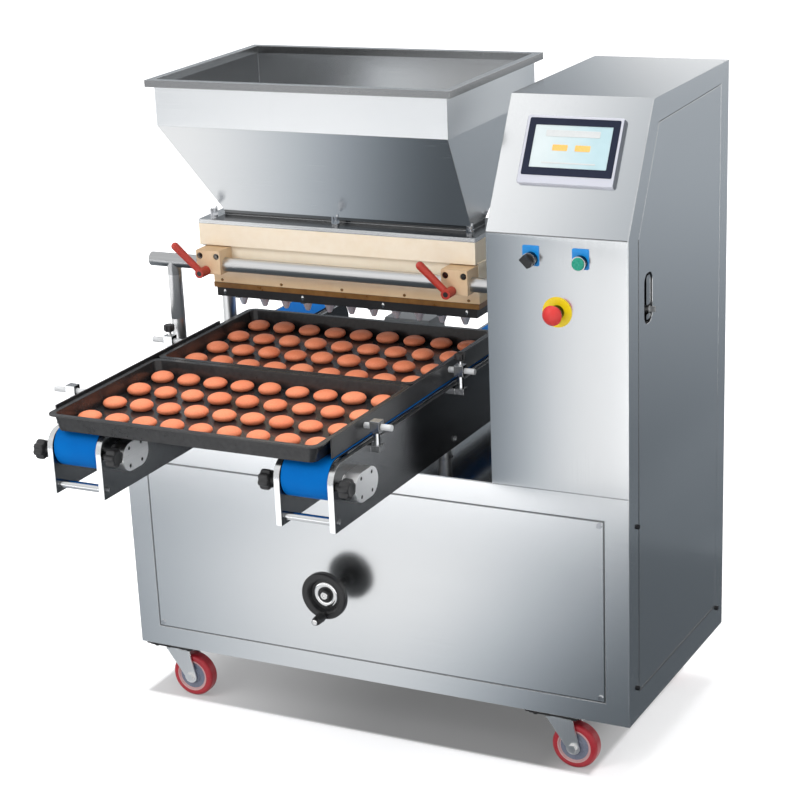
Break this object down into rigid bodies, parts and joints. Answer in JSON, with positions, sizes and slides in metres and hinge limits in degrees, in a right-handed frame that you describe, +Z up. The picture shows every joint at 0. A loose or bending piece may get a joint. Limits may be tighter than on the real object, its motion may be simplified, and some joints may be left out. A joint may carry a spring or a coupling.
{
  "type": "cake batter filling machine",
  "caption": "Free-standing depositor with a batter hopper over a piston head and nozzle row, a twin-belt tray conveyor on a hand-cranked lift, and a control column.",
  "frame": {"origin": "middle of the footprint, on the floor under the caster wheels", "axes": "+X to the machine's right (the control column's side), +Y to its back, +Z up"},
  "size_m": [1.18, 1.088, 1.405],
  "materials": {
    "stainless_sheet": "brushed",
    "frame_steel": "mill finish",
    "polished_steel": "polished",
    "zinc_steel": "zinc plated",
    "dark_steel": "satin",
    "red_tyre": "satin",
    "cream_block": "machined",
    "brown_seal": "satin",
    "black_metal": "satin",
    "tray_coating": "semi-gloss",
    "grey_nozzle": "satin",
    "bare_aluminium": "satin",
    "blue_belt": "satin",
    "black_plastic": "satin",
    "panel_bezel": "gloss",
    "panel_screen": "gloss",
    "red_lever": "gloss",
    "green_cap": "gloss",
    "legend": "satin",
    "motor_paint": "satin"
  },
  "bodies": {
    "machine_frame": {"base_frame": "frame_steel", "base_shell": "stainless_sheet", "front_panel": "stainless_sheet", "deck_plate": "stainless_sheet", "column_shell": "stainless_sheet", "right_side": "stainless_sheet", "electrical_plate": "dark_steel", "hmi_bezel": "panel_bezel", "hmi_screen": "panel_screen", "legend_plates": "legend", "button_bezels": "polished_steel", "caster_plates": "dark_steel", "lift_gearbox": "motor_paint", "hopper": "stainless_sheet", "upper_block": "cream_block", "piston_block": "cream_block", "seal_strip": "brown_seal", "nozzle_plate": "black_metal", "nozzles": "grey_nozzle", "pinion_brackets": "bare_aluminium", "head_motors": "motor_paint", "head_rails": "polished_steel", "clamp_blocks": "cream_block", "fasteners": "polished_steel"},
    "lift_deck": {"lift_carriage": "frame_steel", "conveyor_frames": "bare_aluminium", "bearing_housings": "bare_aluminium", "belts": "blue_belt", "conveyor_motor": "motor_paint"},
    "handwheel": {"handwheel": "black_plastic"},
    "lead_screw": {"lead_screw": "polished_steel"},
    "handwheel_grip": {"handwheel_grip": "black_plastic"},
    "caster_front_left": {"caster_fork_front_left": "zinc_steel"},
    "wheel_front_left": {"caster_wheel_front_left": "red_tyre"},
    "caster_front_right": {"caster_fork_front_right": "zinc_steel"},
    "wheel_front_right": {"caster_wheel_front_right": "red_tyre"},
    "caster_back_left": {"caster_fork_back_left": "zinc_steel"},
    "wheel_back_left": {"caster_wheel_back_left": "red_tyre"},
    "caster_back_right": {"caster_fork_back_right": "zinc_steel"},
    "wheel_back_right": {"caster_wheel_back_right": "red_tyre"},
    "drive_shaft": {"drive_shaft": "polished_steel"},
    "nose_rollers": {"nose_rollers": "polished_steel"},
    "left_nose_knobs": {"left_nose_knobs": "black_plastic"},
    "right_nose_knobs": {"right_nose_knobs": "black_plastic"},
    "left_guide": {"left_guide": "black_metal"},
    "right_guide": {"right_guide": "black_metal"},
    "left_guide_knob": {"left_guide_knob": "black_plastic"},
    "right_guide_knob": {"right_guide_knob": "black_plastic"},
    "front_tray": {"front_tray": "tray_coating"},
    "rear_tray": {"rear_tray": "tray_coating"},
    "piston_set": {"piston_set": "polished_steel"},
    "pinion_shaft": {"pinion_shaft": "polished_steel"},
    "valve_shaft": {"valve_shaft": "polished_steel"},
    "lever_left": {"lever_left": "red_lever"},
    "lever_right": {"lever_right": "red_lever"},
    "selector_knob": {"selector_knob": "black_plastic"},
    "start_button": {"start_button": "green_cap"},
    "estop_head": {"estop_head": "red_lever"},
    "side_door": {"side_door": "stainless_sheet"},
    "lock_handle": {"lock_handle": "polished_steel"}
  },
  "joints": [
    {"name": "deck_lift", "type": "slide", "parent": "machine_frame", "child": "lift_deck", "axis": [0, 0, 1], "range_m": [-0.045, 0.03]},
    {"name": "handwheel_turn", "type": "hinge", "parent": "machine_frame", "child": "handwheel", "pos_m": [-0.075, -0.104, 0.346], "axis": [0, 1, 0], "range_deg": [-1621, 1081]},
    {"name": "lead_screw_turn", "type": "hinge", "parent": "machine_frame", "child": "lead_screw", "pos_m": [-0.075, 0.171, 0.5], "axis": [0, 0, 1], "range_deg": [-1621, 1081]},
    {"name": "grip_spin", "type": "hinge", "parent": "handwheel", "child": "handwheel_grip", "pos_m": [-0.075, -0.134, 0.304], "axis": [0, 1, 0], "continuous": true},
    {"name": "caster_swivel_front_left", "type": "hinge", "parent": "machine_frame", "child": "caster_front_left", "pos_m": [-0.52, 0.002, 0.11], "axis": [0, 0, 1], "continuous": true},
    {"name": "caster_roll_front_left", "type": "hinge", "parent": "caster_front_left", "child": "wheel_front_left", "pos_m": [-0.483, 0.002, 0.05], "axis": [0, 1, 0], "continuous": true},
    {"name": "caster_swivel_front_right", "type": "hinge", "parent": "machine_frame", "child": "caster_front_right", "pos_m": [0.409, 0.002, 0.11], "axis": [0, 0, 1], "continuous": true},
    {"name": "caster_roll_front_right", "type": "hinge", "parent": "caster_front_right", "child": "wheel_front_right", "pos_m": [0.446, 0.002, 0.05], "axis": [0, 1, 0], "continuous": true},
    {"name": "caster_swivel_back_left", "type": "hinge", "parent": "machine_frame", "child": "caster_back_left", "pos_m": [-0.52, 0.48, 0.11], "axis": [0, 0, 1], "continuous": true},
    {"name": "caster_roll_back_left", "type": "hinge", "parent": "caster_back_left", "child": "wheel_back_left", "pos_m": [-0.483, 0.48, 0.05], "axis": [0, 1, 0], "continuous": true},
    {"name": "caster_swivel_back_right", "type": "hinge", "parent": "machine_frame", "child": "caster_back_right", "pos_m": [0.409, 0.48, 0.11], "axis": [0, 0, 1], "continuous": true},
    {"name": "caster_roll_back_right", "type": "hinge", "parent": "caster_back_right", "child": "wheel_back_right", "pos_m": [0.446, 0.48, 0.05], "axis": [0, 1, 0], "continuous": true},
    {"name": "belt_drive", "type": "hinge", "parent": "lift_deck", "child": "drive_shaft", "pos_m": [-0.12, 0.456, 0.77], "axis": [1, 0, 0], "continuous": true},
    {"name": "nose_roller_turn", "type": "hinge", "parent": "lift_deck", "child": "nose_rollers", "pos_m": [-0.12, -0.486, 0.77], "axis": [1, 0, 0], "continuous": true},
    {"name": "left_nose_knob_turn", "type": "hinge", "parent": "lift_deck", "child": "left_nose_knobs", "pos_m": [-0.12, -0.519, 0.765], "axis": [1, 0, 0], "range_deg": [-360, 360]},
    {"name": "right_nose_knob_turn", "type": "hinge", "parent": "lift_deck", "child": "right_nose_knobs", "pos_m": [-0.12, -0.519, 0.765], "axis": [1, 0, 0], "range_deg": [-360, 360]},
    {"name": "left_guide_slide", "type": "slide", "parent": "lift_deck", "child": "left_guide", "axis": [1, 0, 0], "range_m": [-0.025, 0.002]},
    {"name": "right_guide_slide", "type": "slide", "parent": "lift_deck", "child": "right_guide", "axis": [1, 0, 0], "range_m": [-0.002, 0.012]},
    {"name": "left_guide_knob_turn", "type": "hinge", "parent": "lift_deck", "child": "left_guide_knob", "pos_m": [-0.48, 0.001, 0.86], "axis": [0, 0, 1], "range_deg": [0, 360]},
    {"name": "right_guide_knob_turn", "type": "hinge", "parent": "lift_deck", "child": "right_guide_knob", "pos_m": [0.2065, 0.001, 0.86], "axis": [0, 0, 1], "range_deg": [0, 360]},
    {"name": "front_tray_slide", "type": "slide", "parent": "lift_deck", "child": "front_tray", "axis": [0, 1, 0], "range_m": [-0.15, 0.002]},
    {"name": "rear_tray_slide", "type": "slide", "parent": "lift_deck", "child": "rear_tray", "axis": [0, 1, 0], "range_m": [-0.002, 0.24]},
    {"name": "piston_stroke", "type": "slide", "parent": "machine_frame", "child": "piston_set", "axis": [0, 1, 0], "range_m": [0, 0.04]},
    {"name": "pinion_turn", "type": "hinge", "parent": "machine_frame", "child": "pinion_shaft", "pos_m": [-0.12, 0.356, 1.038], "axis": [1, 0, 0], "range_deg": [-0.5, 115.5]},
    {"name": "valve_turn", "type": "hinge", "parent": "machine_frame", "child": "valve_shaft", "pos_m": [-0.12, 0.171, 1.008], "axis": [1, 0, 0], "range_deg": [0, 90]},
    {"name": "lever_left_turn", "type": "hinge", "parent": "machine_frame", "child": "lever_left", "pos_m": [-0.4, 0.036, 0.988], "axis": [0, 1, 0], "range_deg": [-50, 50]},
    {"name": "lever_right_turn", "type": "hinge", "parent": "machine_frame", "child": "lever_right", "pos_m": [0.174, 0.036, 0.988], "axis": [0, 1, 0], "range_deg": [-50, 50]},
    {"name": "selector_turn", "type": "hinge", "parent": "machine_frame", "child": "selector_knob", "pos_m": [0.3835, -0.044, 1.09], "axis": [0, 1, 0], "range_deg": [0, 90]},
    {"name": "start_push", "type": "slide", "parent": "machine_frame", "child": "start_button", "axis": [0, 1, 0], "range_m": [0, 0.004], "stiffness_N_per_m": 1500},
    {"name": "estop_push", "type": "slide", "parent": "machine_frame", "child": "estop_head", "axis": [0, 1, 0], "range_m": [0, 0.0045], "stiffness_N_per_m": 2500},
    {"name": "side_door_swing", "type": "hinge", "parent": "machine_frame", "child": "side_door", "pos_m": [0.5765, 0.4735, 0.76], "axis": [0, 0, 1], "range_deg": [0, 110]},
    {"name": "lock_turn", "type": "hinge", "parent": "side_door", "child": "lock_handle", "pos_m": [0.58, 0.074, 0.976], "axis": [1, 0, 0], "range_deg": [-90, 0]}
  ],
  "couplings": [
    {"joint": "handwheel_turn", "follows": "deck_lift", "rad_per_m": 628.32},
    {"joint": "lead_screw_turn", "follows": "deck_lift", "rad_per_m": 628.32},
    {"joint": "nose_roller_turn", "follows": "belt_drive", "ratio": 1},
    {"joint": "pinion_turn", "follows": "piston_stroke", "rad_per_m": 50}
  ]
}
